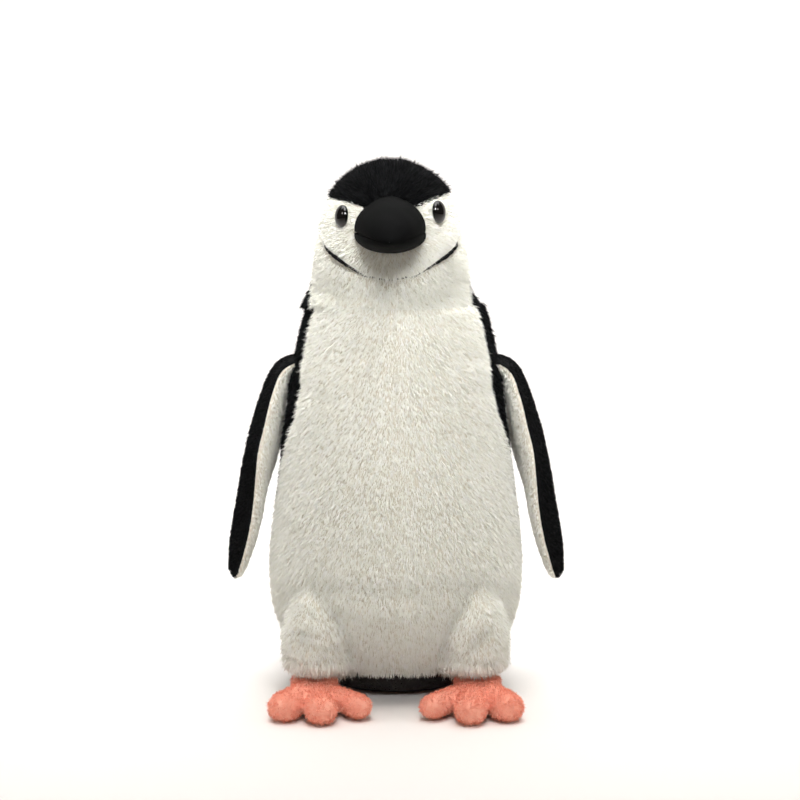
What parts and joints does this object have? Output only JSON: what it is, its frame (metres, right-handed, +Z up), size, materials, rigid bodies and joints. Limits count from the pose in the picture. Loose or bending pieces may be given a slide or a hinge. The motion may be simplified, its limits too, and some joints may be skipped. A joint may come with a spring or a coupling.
{
  "type": "plush penguin",
  "caption": "Standing plush chinstrap penguin, fibre filled, with a turning head, lifting flippers, flexing feet and tail.",
  "frame": {"origin": "on the floor, under the middle of the toy's bounding box", "axes": "+Z up, the toy faces -Y, its own left is +X"},
  "size_m": [0.1926, 0.175, 0.3],
  "materials": {
    "white_plush": "ivory plush, pile 4 to 6 mm, combed down",
    "white_short_plush": "ivory plush, pile 2 to 3 mm",
    "black_plush": "black plush, pile 4 to 6 mm",
    "black_short_plush": "black plush, pile 2 mm",
    "beak_cloth": "smooth black short-napped cloth",
    "black_thread": "black embroidery thread",
    "coral_fleece": "coral fleece, pile 1.5 mm",
    "black_eye": "glossy black",
    "eye_washer": "moulded, unpainted",
    "bag_cloth": "plain woven nylon",
    "pellets": "loose moulded pellets",
    "polyester_filling": "loose crimped fibre",
    "label_satin": "white satin tape, unprinted"
  },
  "bodies": {
    "torso": {"left_belly_panel": "white_plush", "right_belly_panel": "white_plush", "left_back_panel": "black_plush", "right_back_panel": "black_plush", "base_panel": "black_short_plush", "torso_stuffing": "polyester_filling", "pellet_bag": "bag_cloth", "pellet_bag_cover": "bag_cloth", "pellet_fill": "pellets", "left_leg_cuff": "white_plush", "right_leg_cuff": "white_plush", "left_leg_stuffing": "polyester_filling", "right_leg_stuffing": "polyester_filling", "care_label": "label_satin"},
    "head": {"crown_panel": "black_plush", "nape_panel": "black_plush", "left_face_panel": "white_plush", "right_face_panel": "white_plush", "throat_panel": "white_plush", "chin_strap": "black_thread", "upper_beak": "beak_cloth", "lower_beak": "beak_cloth", "beak_stuffing": "polyester_filling", "head_stuffing": "polyester_filling", "left_eye": "black_eye", "right_eye": "black_eye", "left_eye_washer": "eye_washer", "right_eye_washer": "eye_washer"},
    "left_flipper": {"left_flipper_outer": "black_short_plush", "left_flipper_inner": "white_short_plush", "left_flipper_stuffing": "polyester_filling"},
    "left_foot": {"left_foot_top": "coral_fleece", "left_foot_sole": "coral_fleece", "left_foot_stuffing": "polyester_filling"},
    "right_flipper": {"right_flipper_outer": "black_short_plush", "right_flipper_inner": "white_short_plush", "right_flipper_stuffing": "polyester_filling"},
    "right_foot": {"right_foot_top": "coral_fleece", "right_foot_sole": "coral_fleece", "right_foot_stuffing": "polyester_filling"},
    "tail": {"tail_top": "black_short_plush", "tail_underside": "black_short_plush", "tail_stuffing": "polyester_filling"}
  },
  "joints": [
    {"name": "head_turn", "type": "hinge", "parent": "torso", "child": "head", "pos_m": [-0.003, 0, 0.21925], "axis": [0, 0, 1], "range_deg": [-25, 25], "stiffness_Nm_per_rad": 0.4},
    {"name": "left_flipper_lift", "type": "hinge", "parent": "torso", "child": "left_flipper", "pos_m": [0.0633, 0.003, 0.183], "axis": [0, -1, 0], "range_deg": [-2, 80], "stiffness_Nm_per_rad": 0.25},
    {"name": "right_flipper_lift", "type": "hinge", "parent": "torso", "child": "right_flipper", "pos_m": [-0.0633, 0.003, 0.183], "axis": [0, 1, 0], "range_deg": [-2, 80], "stiffness_Nm_per_rad": 0.25},
    {"name": "left_foot_flex", "type": "hinge", "parent": "torso", "child": "left_foot", "pos_m": [0.045, -0.045, 0.012], "axis": [-1, 0, 0], "range_deg": [-15, 25], "stiffness_Nm_per_rad": 0.1},
    {"name": "right_foot_flex", "type": "hinge", "parent": "torso", "child": "right_foot", "pos_m": [-0.045, -0.045, 0.012], "axis": [-1, 0, 0], "range_deg": [-15, 25], "stiffness_Nm_per_rad": 0.1},
    {"name": "tail_flex", "type": "hinge", "parent": "torso", "child": "tail", "pos_m": [0, 0.0568, 0.017], "axis": [1, 0, 0], "range_deg": [-8, 35], "stiffness_Nm_per_rad": 0.1}
  ]
}
